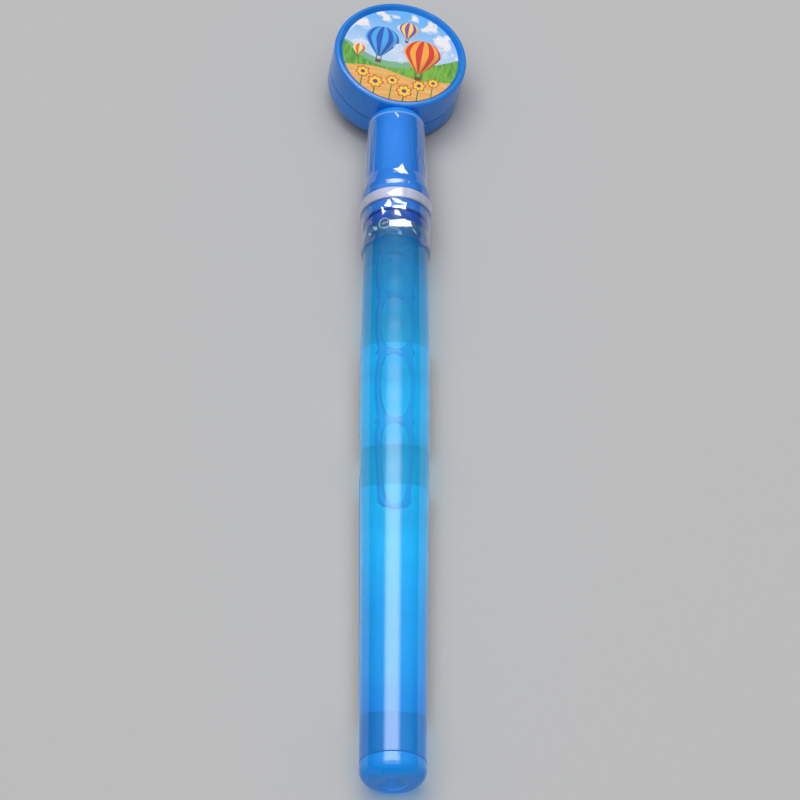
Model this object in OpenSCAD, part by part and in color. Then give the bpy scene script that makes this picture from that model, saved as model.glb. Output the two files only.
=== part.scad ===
// Bubble wand: a translucent tube for the solution, closed by a round-headed handle
// that carries a chain of loops. The wand lies on its back on a flat surface.

/* [Tube] */
// Length of the tube from its foot to the shoulder under the collar
tube_l = 254.2; // [200:0.1:320]
// Outer radius of the tube at the shoulder
tube_mouth_r = 13.4; // [13.2:0.05:15]
// Outer radius of the tube just above the rounded foot
tube_foot_r = 12.65; // [11:0.05:14]
// How far the blown wall swells beyond a straight taper
tube_swell = 0.98; // [0:0.02:1.2]
// Wall thickness of the tube
tube_wall = 0.9; // [0.6:0.05:1.4]
// Rounding between the side of the tube and its foot
foot_round = 5.4; // [3:0.1:8]
// Rise of the dished middle of the foot
foot_dish = 1.3; // [0.5:0.1:3]
// Height of the moulding line above the end of the foot
foot_line_z = 7.8; // [6:0.1:12]
// Depth of the moulding line
foot_line_d = 0.3; // [0.1:0.05:0.5]
// Rounding of the shoulder
shoulder_round = 0.8; // [0.3:0.05:0.9]
// Outer radius of the neck that the collar covers
neck_r = 12.6; // [12:0.05:12.9]
// Height of the neck
neck_h = 9.2; // [8.5:0.1:14]

/* [Collar and seal ring] */
// Outer radius of the screw collar
collar_r = 14.15; // [13.9:0.05:14.6]
// Radial room between the neck and the collar for the thread
thread_room = 0.5; // [0.3:0.05:0.8]
// Gap between the shoulder of the tube and the collar
collar_gap = 0.3; // [0.1:0.05:0.6]
// Outer radius of the white seal ring
ring_r = 15.2; // [15:0.05:16]
// Height of the outer band of the seal ring
ring_h = 5.2; // [4:0.1:7]
// Thickness of the top web of the seal ring
ring_web_t = 1; // [0.8:0.1:1.6]
// Wall of the sleeve that reaches down into the neck
sleeve_wall = 0.9; // [0.6:0.05:1.2]
// Length of that sleeve below the web
sleeve_l = 8.4; // [7.6:0.1:12]
// Radius of the hole in the wiper lip at the end of the sleeve
wiper_r = 8.6; // [8:0.1:9.5]
// Thickness of the wiper lip
wiper_t = 0.6; // [0.4:0.05:0.8]
// Height of the snap bead inside the outer band
bead_d = 0.3; // [0.15:0.05:0.4]

/* [Handle] */
// Length of the handle from the seal ring to the end of its rounded shoulder
handle_l = 47.6; // [38:0.1:60]
// Outer radius of the cone above the flange
handle_base_r = 13.1; // [12.9:0.05:14]
// Outer radius of the cone at its shoulder
handle_top_r = 12.2; // [11:0.05:12.5]
// Wall thickness of the handle
handle_wall = 1.5; // [1.2:0.05:1.6]
// Rounding of the shoulder
handle_round = 4.5; // [2:0.1:5]
// Thickness of the flange that rests on the seal ring
flange_h = 4.4; // [2:0.1:5.5]
// Radius of the spigot that the head clamps
spigot_r = 6.5; // [5:0.1:7]
// Radius of the retaining flange inside the head
spigot_flange_r = 7.8; // [7.4:0.05:8]
// Thickness of that retaining flange
spigot_flange_t = 1.8; // [1.2:0.1:2.5]

/* [Stopper] */
// Depth of the stopper inside the handle
stopper_in = 7.2; // [5:0.1:8]
// Depth of the stopper inside the seal ring
stopper_plug = 6.9; // [5:0.1:7.2]
// Wall thickness of the stopper
stopper_wall = 1.3; // [1:0.05:1.6]
// Radius of the peg at the top of the wand
peg_r = 2.25; // [1.8:0.05:2.8]
// Length of the peg
peg_l = 6.6; // [4:0.1:7]

/* [Wand] */
// Reach of the wand below the stopper
wand_l = 143; // [100:0.5:160]
// Half width of a loop at its widest
loop_w = 5.5; // [5:0.05:7]
// Half width of the chain at a rung
pinch_w = 4.3; // [3.6:0.05:4.9]
// Width of the bars that form the loops
bar_w = 1.25; // [1:0.05:1.6]
// Thickness of the flat wand
wand_t = 2.4; // [1.8:0.1:3]
// Radius of the round nub at each end of a rung
nub_r = 1.1; // [0.8:0.05:1.4]
// Half width of the stem above the first loop
stem_w = 2.6; // [2:0.05:3.2]
// Radius of the round tip of the last loop
tip_r = 4.2; // [2.2:0.05:4.8]

/* [Head] */
// Radius of the round head
head_r = 29.2; // [27:0.1:34]
// Thickness of the head
head_t = 24; // [21:0.1:30]
// Wall thickness of both shells round their side
head_wall = 1.8; // [1.2:0.05:2]
// Thickness of the flat face and back of the shells
head_face_t = 1.6; // [1:0.05:1.8]
// How far the head sinks into the rounded end of the handle, which is cut to fit it
head_sink = 1.2; // [0.2:0.1:2]
// Distance of the parting line behind the middle of the head
parting_back = 2.2; // [1:0.1:3]
// Depth of the fine chamfer that marks the parting line
parting_d = 0.35; // [0.2:0.05:0.5]
// Rounding of the rim round the face
rim_round = 1.6; // [1:0.1:2]
// Rounding of the rim round the back
back_round = 2; // [1:0.1:3]
// Radius of the floor of the recess for the printed disc
recess_r = 25.9; // [24:0.1:26]
// Depth of that recess
recess_d = 1.9; // [0.8:0.1:2.4]
// How far the wall of the recess slopes outwards up to the rim
recess_slope = 1.1; // [0.2:0.1:1.4]
// Thickness of the printed disc
disc_t = 0.4; // [0.3:0.05:0.6]
// Distance of the fixing posts from the middle of the head
post_place_r = 22; // [18:0.1:22.5]
// Radius of the fixing posts
post_r = 2.6; // [2.3:0.05:3]
// Radius of the pins on the posts
pin_r = 1.3; // [1:0.05:1.5]
// Length of those pins
pin_l = 4; // [2.5:0.1:5]

/* [Film and labels] */
// Thickness of the shrink film
film_t = 0.15; // [0.1:0.05:0.3]
// Gap between the film and what it covers
film_gap = 0.15; // [0.1:0.05:0.3]
// How far the film reaches below the collar
film_skirt = 14.5; // [8:0.5:30]
// How far the film stands off the tube there
film_flare = 0.75; // [0.3:0.05:1]
// How far above the flange the film meets the cone again
film_bridge = 7; // [3:0.5:12]
// Thickness of the labels on the back of the tube
label_t = 0.1; // [0.08:0.01:0.2]
// Arc that a label covers round the tube, in degrees
label_arc = 168; // [120:1:180]
// Height of the lower label's lower edge above the foot
lower_label_z = 32; // [20:0.5:60]
// Height of the lower label
lower_label_h = 99.5; // [60:0.5:110]
// Bare stretch between the two labels
label_gap = 18.5; // [5:0.5:30]
// Height of the upper label
upper_label_h = 49; // [20:0.5:60]

/* [Hidden] */

// Fits
running_fit = 0.05;
press_fit_gap = 0.02;
glue_gap = 0.06;
seat_gap = 0.1;
turning_room = 0.15;
cut = 0.5;

// Counts of sides and of stations along a curve
round_sides = 96;
small_sides = 48;
body_stations = 22;
corner_stations = 6;
window_stations = 26;
post_count = 4;

// The blown body swells most above its middle
swell_place_share = 1.6;
swell_form_share = 1.3;
foot_stand_share = 0.42;
dish_form_share = 0.55;

// Levels along the wand, measured from the end of the foot
rim_z = tube_l + neck_h;
ring_top_z = rim_z + ring_web_t;
ring_low_z = ring_top_z - ring_h;
collar_low_z = tube_l + collar_gap;
collar_top_z = rim_z - turning_room;
flange_top_z = ring_top_z + flange_h;
shoulder_z = ring_top_z + handle_l;
head_z = shoulder_z - head_sink + head_r;
stopper_low_z = ring_top_z - stopper_plug;
stopper_top_z = ring_top_z + stopper_in;
wand_tip_z = stopper_low_z - wand_l;

// Radii that follow their neighbours
neck_in_r = neck_r - tube_wall;
collar_in_r = neck_r + thread_room;
band_in_r = collar_r + turning_room;
sleeve_r = neck_in_r - seat_gap;
sleeve_in_r = sleeve_r - sleeve_wall;
plug_r = sleeve_in_r - running_fit;
seat_r = handle_base_r - handle_wall - seat_gap * 2;
stopper_r = seat_r - press_fit_gap;
disc_r = recess_r - seat_gap * 3;
foot_stand_r = tube_foot_r * foot_stand_share;

// Lying pose: the foot and the film round the seal ring touch the ground, and the
// wand has rolled until the back rim of the head touches it too
film_r = ring_r + film_gap + film_t;
ring_mid_z = ring_top_z - ring_h / 2;
pitch = atan((film_r - tube_foot_r) / (ring_mid_z - foot_round));
axis_h = tube_foot_r * cos(pitch) - foot_round * sin(pitch);
head_h = axis_h + head_z * sin(pitch);
rim_reach = head_r - back_round;
rim_depth = head_t / 2 - back_round;
head_lean = asin((head_h - back_round) / norm([rim_reach, rim_depth])) - atan(rim_depth / rim_reach);
roll = acos(cos(head_lean) / cos(pitch));
head_tip = sin(pitch) * cos(roll);
low_y = foot_round * cos(pitch) - (tube_foot_r - foot_round) * sin(pitch) - foot_round;
high_y = head_z * cos(pitch) + rim_reach * sqrt(1 - head_tip * head_tip)
    + rim_depth * head_tip + back_round;

module lying() {
    translate([0, -(low_y + high_y) / 2, axis_h])
        rotate([pitch, 0, 0])
            rotate([0, roll, 0])
                rotate([-90, 0, 0])
                    children();
}

// Points of an arc from one angle to another, in the plane of a profile
function arc(centre, r, from, to) = [
    for (i = [0 : corner_stations])
        let (a = from + (to - from) * i / corner_stations)
            [centre[0] + r * cos(a), centre[1] + r * sin(a)]
];

// Outer radius of the tube at a height above the foot
function body_r(z) =
    let (t = min(max((z - foot_round) / (tube_l - foot_round), 0), 1))
        tube_foot_r + (tube_mouth_r - tube_foot_r) * t
            + tube_swell * pow(sin(180 * pow(t, swell_place_share)), swell_form_share);

// Points up the side of the tube, moved outwards by the given amount
function body_side(from, to, out) = [
    for (i = [0 : body_stations])
        let (z = from + (to - from) * i / body_stations)
            [body_r(z) + out, z]
];

function backwards(points) = [for (i = [len(points) - 1 : -1 : 0]) points[i]];

// A tube with its foot, shoulder and neck
module tube() {
    foot_in_round = foot_round - tube_wall;
    side_top_z = tube_l - shoulder_round;
    stand_z = foot_dish * dish_form_share;
    outside = concat(
        [[0, foot_dish], [foot_stand_r / 2, stand_z], [foot_stand_r, 0]],
        arc([tube_foot_r - foot_round, foot_round], foot_round, -90, 0),
        [
            [body_r(foot_line_z), foot_line_z - foot_line_d],
            [body_r(foot_line_z) - foot_line_d, foot_line_z],
            [body_r(foot_line_z), foot_line_z + foot_line_d]
        ],
        body_side(foot_line_z + foot_line_d * 2, side_top_z, 0),
        arc([tube_mouth_r - shoulder_round, side_top_z], shoulder_round, 0, 90),
        [[neck_r, tube_l], [neck_r, rim_z]]
    );
    inside = concat(
        [[neck_in_r, rim_z], [neck_in_r, tube_l], [body_r(side_top_z) - tube_wall, side_top_z]],
        backwards(body_side(foot_line_z, side_top_z - tube_wall, -tube_wall)),
        backwards(arc([tube_foot_r - foot_round, foot_round], foot_in_round, -90, 0)),
        [[foot_stand_r, tube_wall], [foot_stand_r / 2, stand_z + tube_wall], [0, foot_dish + tube_wall]]
    );
    color([0.13, 0.55, 0.85, 0.55])
        rotate_extrude($fn = round_sides)
            polygon(concat(outside, inside));
}

// A paper label wrapped round the back of the tube
module back_label(low_z, height) {
    color("white")
        rotate([0, 0, 90 - label_arc / 2])
            rotate_extrude(angle = label_arc, $fn = round_sides)
                polygon(concat(
                    body_side(low_z, low_z + height, glue_gap),
                    backwards(body_side(low_z, low_z + height, glue_gap + label_t))
                ));
}

module lower_label() {
    back_label(lower_label_z, lower_label_h);
}

module upper_label() {
    back_label(lower_label_z + lower_label_h + label_gap, upper_label_h);
}

// The white ring: an outer band, a web on the rim of the neck and a sleeve with a
// wiper lip inside it
module seal_ring() {
    bead_z = ring_low_z + bead_d * 3;
    color([0.85, 0.87, 0.95])
        rotate_extrude($fn = round_sides)
            polygon([
                [sleeve_in_r, ring_top_z],
                [ring_r - bead_d, ring_top_z],
                [ring_r, ring_top_z - bead_d],
                [ring_r, ring_low_z + bead_d],
                [ring_r - bead_d, ring_low_z],
                [band_in_r, ring_low_z],
                [band_in_r, bead_z - bead_d],
                [band_in_r - bead_d, bead_z],
                [band_in_r, bead_z + bead_d],
                [band_in_r, rim_z],
                [sleeve_r, rim_z],
                [sleeve_r, rim_z - sleeve_l],
                [wiper_r, rim_z - sleeve_l - wiper_t],
                [wiper_r, rim_z - sleeve_l],
                [sleeve_in_r, rim_z - sleeve_l + wiper_t]
            ]);
}

// The collar turns inside the band of the seal ring, held by the snap bead
module screw_collar() {
    groove_z = ring_low_z + bead_d * 3;
    groove_h = bead_d * 2;
    edge = bead_d;
    color([0.22, 0.52, 0.86])
        rotate_extrude($fn = round_sides)
            polygon([
                [collar_in_r, collar_low_z],
                [collar_r - edge, collar_low_z],
                [collar_r, collar_low_z + edge],
                [collar_r, groove_z - groove_h],
                [collar_r - bead_d, groove_z - bead_d / 2],
                [collar_r - bead_d, groove_z + bead_d / 2],
                [collar_r, groove_z + groove_h],
                [collar_r, collar_top_z - edge],
                [collar_r - edge, collar_top_z],
                [collar_in_r, collar_top_z]
            ]);
}

// Room for the round side of the head in the end of the handle
module head_room() {
    translate([0, 0, head_z])
        rotate([90, 0, 0])
            cylinder(r = head_r + seat_gap, h = (handle_top_r + cut) * 2, center = true, $fn = round_sides);
}

// The conical handle is an open shell with a flange below, a rounded end that fits the
// side of the head, and a spigot that the head clamps
module handle() {
    edge = flange_h / 8;
    seat_z = stopper_top_z + press_fit_gap;
    ceiling_z = shoulder_z - handle_round;
    head_wall_z = head_z - sqrt(pow(head_r - head_wall, 2) - pow(spigot_flange_r, 2)) + seat_gap;
    spigot_top_z = head_wall_z + spigot_flange_t;
    hollow_r = spigot_r - handle_wall;
    color([0.22, 0.51, 0.87])
        union() {
            difference() {
                rotate_extrude($fn = round_sides)
                    polygon(concat(
                        [
                            [seat_r, ring_top_z],
                            [ring_r - edge, ring_top_z],
                            [ring_r, ring_top_z + edge],
                            [ring_r, flange_top_z - edge * 3],
                            [ring_r - edge * 2, flange_top_z - edge],
                            [handle_base_r + edge, flange_top_z],
                            [handle_base_r, flange_top_z + edge]
                        ],
                        arc([handle_top_r - handle_round, ceiling_z], handle_round, 0, 90),
                        [
                            [spigot_r - handle_wall / 2, shoulder_z],
                            [spigot_r - handle_wall / 2, ceiling_z],
                            [handle_top_r - handle_wall - seat_gap, ceiling_z],
                            [seat_r - handle_wall / 2, seat_z],
                            [seat_r, seat_z]
                        ]
                    ));
                head_room();
            }
            rotate_extrude($fn = round_sides)
                polygon([
                    [hollow_r, ceiling_z],
                    [spigot_r, ceiling_z],
                    [spigot_r, head_wall_z],
                    [spigot_flange_r, head_wall_z],
                    [spigot_flange_r, spigot_top_z],
                    [hollow_r, spigot_top_z]
                ]);
        }
}

// The stopper closes the handle, plugs the seal ring and holds the peg of the wand
module stopper() {
    boss_r = peg_r + stopper_wall;
    edge = stopper_wall / 3;
    color([0.2, 0.48, 0.83])
        difference() {
            union() {
                rotate_extrude($fn = round_sides)
                    polygon([
                        [0, stopper_low_z],
                        [plug_r - edge, stopper_low_z],
                        [plug_r, stopper_low_z + edge],
                        [plug_r, ring_top_z],
                        [stopper_r, ring_top_z],
                        [stopper_r, stopper_top_z],
                        [stopper_r - stopper_wall, stopper_top_z],
                        [plug_r - stopper_wall, ring_top_z],
                        [plug_r - stopper_wall, stopper_low_z + stopper_wall],
                        [0, stopper_low_z + stopper_wall]
                    ]);
                translate([0, 0, stopper_low_z])
                    cylinder(r = boss_r, h = peg_l + stopper_wall, $fn = small_sides);
            }
            translate([0, 0, stopper_low_z - cut])
                cylinder(r = peg_r + running_fit, h = peg_l + cut, $fn = small_sides);
        }
}

// Each loop is a share of the reach of the wand, from the stem down to the tip
stem_share = 0.13;
loop_shares = [0.16, 0.195, 0.23, 0.285];
loop_form_share = 0.7;
window_form_share = 3.2;
tip_taper_share = 1.4;

function total(values, count) = count == 0 ? 0 : values[count - 1] + total(values, count - 1);
function loop_top_z(i) = stopper_low_z - wand_l * (stem_share + total(loop_shares, i));

// Half width of the outline inside loop i, at a share t of its length from its top
function loop_half(i, t) =
    i < len(loop_shares) - 1
        ? pinch_w + (loop_w - pinch_w) * pow(sin(180 * t), loop_form_share)
        : let (
            rise = pinch_w + (loop_w - pinch_w) * pow(sin(min(180 * t * 2, 90)), loop_form_share),
            fall = tip_r + (loop_w - tip_r) * (1 - pow(t, tip_taper_share)),
            end = wand_l * loop_shares[i] * (1 - t)
        )
            min(rise, fall) * (end < tip_r ? sqrt(1 - pow(1 - end / tip_r, 2)) : 1);

// One side of the outline of loop i, from its top to its bottom
function loop_side(i) = [
    for (k = [0 : window_stations])
        let (t = k / window_stations)
            [loop_half(i, t), loop_top_z(i) - wand_l * loop_shares[i] * t]
];

// One side of the window in loop i, kept a bar's width inside the outline
function window_side(i) =
    let (
        top = loop_top_z(i) - (i == 0 ? bar_w : bar_w / 2),
        last = i == len(loop_shares) - 1,
        low = loop_top_z(i + 1) + (last ? bar_w : bar_w / 2),
        height = wand_l * loop_shares[i]
    ) [
        for (k = [0 : window_stations])
            let (
                t = k / window_stations,
                z = top + (low - top) * t,
                at = (loop_top_z(i) - z) / height,
                close = pow(1 - pow(abs(2 * t - 1), window_form_share), 1 / window_form_share)
            )
                [max(loop_half(i, at) - bar_w, 0) * close, z]
    ];

function other_side(points) = [for (i = [len(points) - 1 : -1 : 0]) [-points[i][0], points[i][1]]];

module flat_piece(thickness) {
    rotate([90, 0, 0])
        linear_extrude(thickness, center = true)
            children();
}

// A flat chain of loops with a nub at each end of every rung
module wand() {
    stem_low_z = loop_top_z(0);
    color([0.14, 0.42, 0.78])
        union() {
            flat_piece(wand_t)
                difference() {
                    union() {
                        for (i = [0 : len(loop_shares) - 1]) {
                            polygon(concat(loop_side(i), other_side(loop_side(i))));
                            for (side = [-1, 1])
                                translate([side * pinch_w, loop_top_z(i)])
                                    circle(r = nub_r, $fn = small_sides);
                        }
                        translate([-stem_w, stem_low_z])
                            square([stem_w * 2, stopper_low_z - stem_low_z]);
                    }
                    for (i = [0 : len(loop_shares) - 1])
                        polygon(concat(window_side(i), other_side(window_side(i))));
                }
            translate([0, 0, stopper_low_z - stem_w])
                cylinder(r = peg_r, h = peg_l + stem_w, $fn = small_sides);
        }
}

// The head is drawn face up and then stood on the end of the handle
module on_handle() {
    translate([0, 0, head_z])
        rotate([90, 0, 0])
            children();
}

module at_posts() {
    for (i = [0 : post_count - 1])
        rotate([0, 0, 360 * (i + 0.5) / post_count])
            translate([post_place_r, 0, 0])
                children();
}

// Hole for the spigot through the side of the head
module spigot_hole() {
    rotate([90, 0, 0])
        cylinder(r = spigot_r + seat_gap, h = head_r + cut, $fn = small_sides);
}

// The front shell has a raised rim round the recess of the printed disc
module front_shell() {
    face_z = head_t / 2;
    recess_z = face_z - recess_d;
    inner_z = recess_z - head_face_t;
    lip = recess_d / 5;
    slope_r = recess_r + recess_slope;
    color([0.2, 0.51, 0.88])
        on_handle()
            difference() {
                union() {
                    rotate_extrude($fn = round_sides)
                        polygon(concat(
                            [[head_r - head_wall, -parting_back], [head_r - parting_d, -parting_back],
                             [head_r, -parting_back + parting_d]],
                            arc([head_r - rim_round, face_z - rim_round], rim_round, 0, 90),
                            [
                                [slope_r + lip, face_z],
                                [slope_r, face_z - lip],
                                [recess_r, recess_z],
                                [0, recess_z],
                                [0, inner_z],
                                [head_r - head_wall, inner_z]
                            ]
                        ));
                    at_posts() {
                        translate([0, 0, -parting_back])
                            cylinder(r = post_r, h = inner_z + parting_back + head_face_t / 2, $fn = small_sides);
                        translate([0, 0, -parting_back - pin_l])
                            cylinder(r = pin_r, h = pin_l + head_face_t, $fn = small_sides);
                    }
                }
                spigot_hole();
            }
}

// The back shell closes the head and takes the pins of the front shell
module back_shell() {
    back_z = -head_t / 2;
    inner_z = back_z + head_face_t;
    top_z = -parting_back;
    color([0.18, 0.44, 0.78])
        on_handle()
            difference() {
                union() {
                    rotate_extrude($fn = round_sides)
                        polygon(concat(
                            [[0, back_z]],
                            arc([head_r - back_round, back_z + back_round], back_round, -90, 0),
                            [
                                [head_r, top_z - parting_d],
                                [head_r - parting_d, top_z],
                                [head_r - head_wall, top_z],
                                [head_r - head_wall, inner_z],
                                [0, inner_z]
                            ]
                        ));
                    at_posts()
                        translate([0, 0, back_z + head_face_t / 2])
                            cylinder(r = post_r, h = top_z - back_z - head_face_t / 2, $fn = small_sides);
                }
                at_posts()
                    translate([0, 0, top_z - pin_l - seat_gap])
                        cylinder(r = pin_r + running_fit, h = pin_l + seat_gap + cut, $fn = small_sides);
                spigot_hole();
            }
}

module printed_disc() {
    color([0.55, 0.8, 0.95])
        on_handle()
            translate([0, 0, head_t / 2 - recess_d])
                cylinder(r = disc_r, h = disc_t, $fn = round_sides);
}

// A clear film shrunk over the joint, from the shoulder of the handle to the tube
module shrink_film() {
    skirt_z = collar_low_z - film_skirt;
    top_z = shoulder_z - handle_round;
    band_z = ring_low_z - film_flare;
    function outline(out) = [
        [body_r(skirt_z) + film_flare + out, skirt_z],
        [max(body_r(tube_l), collar_r) + out + film_gap, tube_l],
        [collar_r + film_gap * 2 + out, band_z],
        [ring_r + film_gap + out, ring_low_z],
        [ring_r + film_gap + out, flange_top_z],
        [handle_base_r + film_gap * 2 + out, flange_top_z + film_bridge],
        [handle_top_r + film_gap + out, top_z]
    ];
    color([0.85, 0.9, 1, 0.25])
        rotate_extrude($fn = round_sides)
            polygon(concat(outline(film_t), backwards(outline(0))));
}

lying() tube();
lying() lower_label();
lying() upper_label();
lying() seal_ring();
lying() screw_collar();
lying() handle();
lying() stopper();
lying() wand();
lying() front_shell();
lying() back_shell();
lying() printed_disc();
lying() shrink_film();
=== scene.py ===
import math

import bpy
import numpy as np
from mathutils import Euler, Matrix, Vector, noise


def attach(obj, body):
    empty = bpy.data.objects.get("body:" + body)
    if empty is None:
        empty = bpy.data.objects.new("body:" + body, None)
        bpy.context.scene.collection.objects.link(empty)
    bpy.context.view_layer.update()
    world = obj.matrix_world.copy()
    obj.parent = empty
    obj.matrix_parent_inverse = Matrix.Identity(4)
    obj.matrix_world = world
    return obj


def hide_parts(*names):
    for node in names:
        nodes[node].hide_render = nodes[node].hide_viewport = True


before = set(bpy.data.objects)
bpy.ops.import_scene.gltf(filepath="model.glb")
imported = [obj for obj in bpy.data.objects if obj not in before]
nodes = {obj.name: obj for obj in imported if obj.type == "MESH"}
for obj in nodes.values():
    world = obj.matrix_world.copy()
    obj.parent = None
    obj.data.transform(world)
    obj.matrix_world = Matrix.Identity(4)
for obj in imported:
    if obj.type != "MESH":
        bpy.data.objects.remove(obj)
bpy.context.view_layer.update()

print("frame loaded:", len(nodes), "nodes")

# Wand frame: z runs from the foot to the head, the face of the head looks to -y, millimetres.
# Below is how it lies in the row frame, in degrees and mm, and where the head is.
lie = {"pitch": 0.636842, "roll": 9.51548, "axisHeight": 12.5892, "middle": 184.603, "headCentre": 340.0}


def turnBy(x, y, z):  # degrees about each axis
    return Euler([math.radians(angle) for angle in (x, y, z)]).to_matrix()


lyingTurn = turnBy(lie["pitch"], 0, 0) @ turnBy(0, lie["roll"], 0)
rowTurn = lyingTurn @ Matrix(((1, 0, 0), (0, 0, 1), (0, -1, 0)))  # wand frame to row frame


def rowPoint(x, y, z):  # wand frame in mm to row frame in m
    return (rowTurn @ Vector((x, y, z)) + Vector((0, -lie["middle"], lie["axisHeight"]))) / 1000


def rowLevels(heights):  # where heights on the wand's axis are along the row frame's y
    return [rowPoint(0, 0, z).y for z in heights]


def alongPoints(value, points):  # straight lines between (place, value) points
    return float(np.interp(value, [p[0] for p in points], [p[1] for p in points]))


def within(value, low, high):
    return min(max(value, low), high)


# shader helpers

def addNode(tree, kind, sockets=None, **settings):  # each socket gets a link or a value
    node = tree.nodes.new("ShaderNode" + kind)
    for name, value in settings.items():
        setattr(node, name, value)
    for name, value in (sockets or {}).items():
        if isinstance(value, bpy.types.NodeSocket):
            tree.links.new(value, node.inputs[name])
        else:
            node.inputs[name].default_value = value
    return node


def calc(tree, operation, a, b=0.5, clamp=False):
    return addNode(tree, "Math", {0: a, 1: b}, operation=operation, use_clamp=clamp).outputs[0]


def chain(tree, value, *steps):  # calc steps one after the other: (operation, other value)
    for operation, other in steps:
        value = calc(tree, operation, value, other)
    return value


def distance(tree, u, v):
    return calc(tree, "SQRT", calc(tree, "ADD", calc(tree, "MULTIPLY", u, u), calc(tree, "MULTIPLY", v, v)))


def ramp(tree, value, low, high, toLow=0.0, toHigh=1.0, smooth=True):
    return addNode(tree, "MapRange", {0: value, 1: low, 2: high, 3: toLow, 4: toHigh},
                   interpolation_type="SMOOTHSTEP" if smooth else "LINEAR").outputs[0]


def softNoise(tree, place, scale, detail=2.0):
    return addNode(tree, "TexNoise", {"Vector": place, "Scale": scale, "Detail": detail}).outputs[0]


def bumpFrom(tree, height, strength, depth=0.0002):
    return addNode(tree, "Bump", {"Height": height, "Strength": strength, "Distance": depth}).outputs[0]


def opaque(colour):
    return (*colour, 1.0)


def scaled(colour, share):
    return tuple(c * share for c in colour)


def blendColour(tree, share, a, b):  # each colour is a link or (red, green, blue)
    a, b = [opaque(c) if isinstance(c, tuple) else c for c in (a, b)]
    return addNode(tree, "Mix", {0: share, 6: a, 7: b}, data_type="RGBA").outputs[2]


def newGroup(name, inputs, outputs):
    tree = bpy.data.node_groups.new(name, "ShaderNodeTree")
    for label, kind, value in inputs:
        socket = tree.interface.new_socket(label, in_out="INPUT", socket_type="NodeSocket" + kind)
        if value is not None:
            socket.default_value = value
    for label, kind in outputs:
        tree.interface.new_socket(label, in_out="OUTPUT", socket_type="NodeSocket" + kind)
    start, end = tree.nodes.new("NodeGroupInput"), tree.nodes.new("NodeGroupOutput")
    return tree, start.outputs, end.inputs


def useGroup(tree, group, sockets):  # a shared effect, by its outputs
    return addNode(tree, "Group", sockets, node_tree=group).outputs


def newMaterial(name):
    material = bpy.data.materials.new(name)
    material.use_nodes = True
    tree = material.node_tree
    tree.nodes.clear()
    return material, tree, addNode(tree, "OutputMaterial"), addNode(tree, "TexCoord").outputs["Object"]


def dress(name, *materials):  # materials for a piece of the CAD
    data = nodes[name].data
    data.materials.clear()
    for material in materials:
        data.materials.append(material)
    return data


# right, up and out over the front of the wand, from an origin and in units of a size in mm
def frontCoordinates(tree, place, origin, size=1.0, turn=0.0):
    frontTurn = rowTurn @ Matrix(((1, 0, 0), (0, 0, -1), (0, 1, 0))) @ turnBy(0, 0, turn)
    mapped = addNode(tree, "Mapping", {"Vector": place, "Location": origin, "Rotation": frontTurn.to_euler(),
                                       "Scale": [size / 1000] * 3}, vector_type="TEXTURE").outputs[0]
    return addNode(tree, "SeparateXYZ", {0: mapped}).outputs[:3], mapped


# shared effects

skinLook = {"fine": 900.0, "broad": 70.0, "fineShare": 0.25, "gloss": (0.3, 0.7)}
wearLook = {"sharp": (0.52, 0.6), "grain": 420.0, "detail": 4.0, "broken": (0.35, 0.65)}
dustLook = {"cells": 620.0, "speck": (0.16, 0.05), "chosen": (0.86, 0.93), "upward": (-0.4, 0.8),
            "least": 0.25, "colour": (0.6, 0.6, 0.58)}
scratchLook = {"layers": ((0.4, 0.0), (1.5, 0.37), (2.6, 0.71)),  # (turn, shift)
               "tilt": 0.3, "slip": 0.2, "scale": (2600.0, 60.0, 320.0), "hair": (0.7, 0.78)}


def makeMouldedSkin():  # faint flow waves and a fine skin, as a mould leaves them
    tree, given, out = newGroup("mouldedSkin", [("Vector", "Vector", None), ("Scale", "Float", 1.0)],
                                [("Height", "Float"), ("Gloss", "Float")])
    fine = softNoise(tree, given["Vector"], calc(tree, "MULTIPLY", given["Scale"], skinLook["fine"]))
    broad = softNoise(tree, given["Vector"], calc(tree, "MULTIPLY", given["Scale"], skinLook["broad"]))
    height = calc(tree, "ADD", calc(tree, "MULTIPLY", fine, skinLook["fineShare"]),
                  calc(tree, "MULTIPLY", broad, 1 - skinLook["fineShare"]))
    tree.links.new(height, out["Height"])
    tree.links.new(ramp(tree, broad, *skinLook["gloss"]), out["Gloss"])
    return tree


def makeEdgeWear():  # a broken mask along convex edges
    tree, given, out = newGroup("edgeWear", [("Vector", "Vector", None), ("Amount", "Float", 0.5)],
                                [("Mask", "Float")])
    sharp = ramp(tree, addNode(tree, "NewGeometry").outputs["Pointiness"], *wearLook["sharp"])
    grain = softNoise(tree, given["Vector"], wearLook["grain"], wearLook["detail"])
    broken = calc(tree, "MULTIPLY", sharp, ramp(tree, grain, *wearLook["broken"]))
    tree.links.new(calc(tree, "MULTIPLY", broken, given["Amount"], clamp=True), out["Mask"])
    return tree


def makeSettledDust():  # fine specks, and a little more of them where the surface looks up
    tree, given, out = newGroup("settledDust", [("Vector", "Vector", None), ("Amount", "Float", 0.3)],
                                [("Mask", "Float")])
    cells = addNode(tree, "TexVoronoi", {"Vector": given["Vector"], "Scale": dustLook["cells"]}).outputs
    speck = ramp(tree, cells["Distance"], *dustLook["speck"])
    chosen = ramp(tree, addNode(tree, "SeparateColor", {0: cells["Color"]}).outputs[0], *dustLook["chosen"])
    upward = addNode(tree, "SeparateXYZ", {0: addNode(tree, "NewGeometry").outputs["Normal"]}).outputs[2]
    lying = ramp(tree, upward, *dustLook["upward"], dustLook["least"])
    mask = chain(tree, speck, ("MULTIPLY", chosen), ("MULTIPLY", lying), ("MULTIPLY", given["Amount"]))
    tree.links.new(mask, out["Mask"])
    return tree


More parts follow.
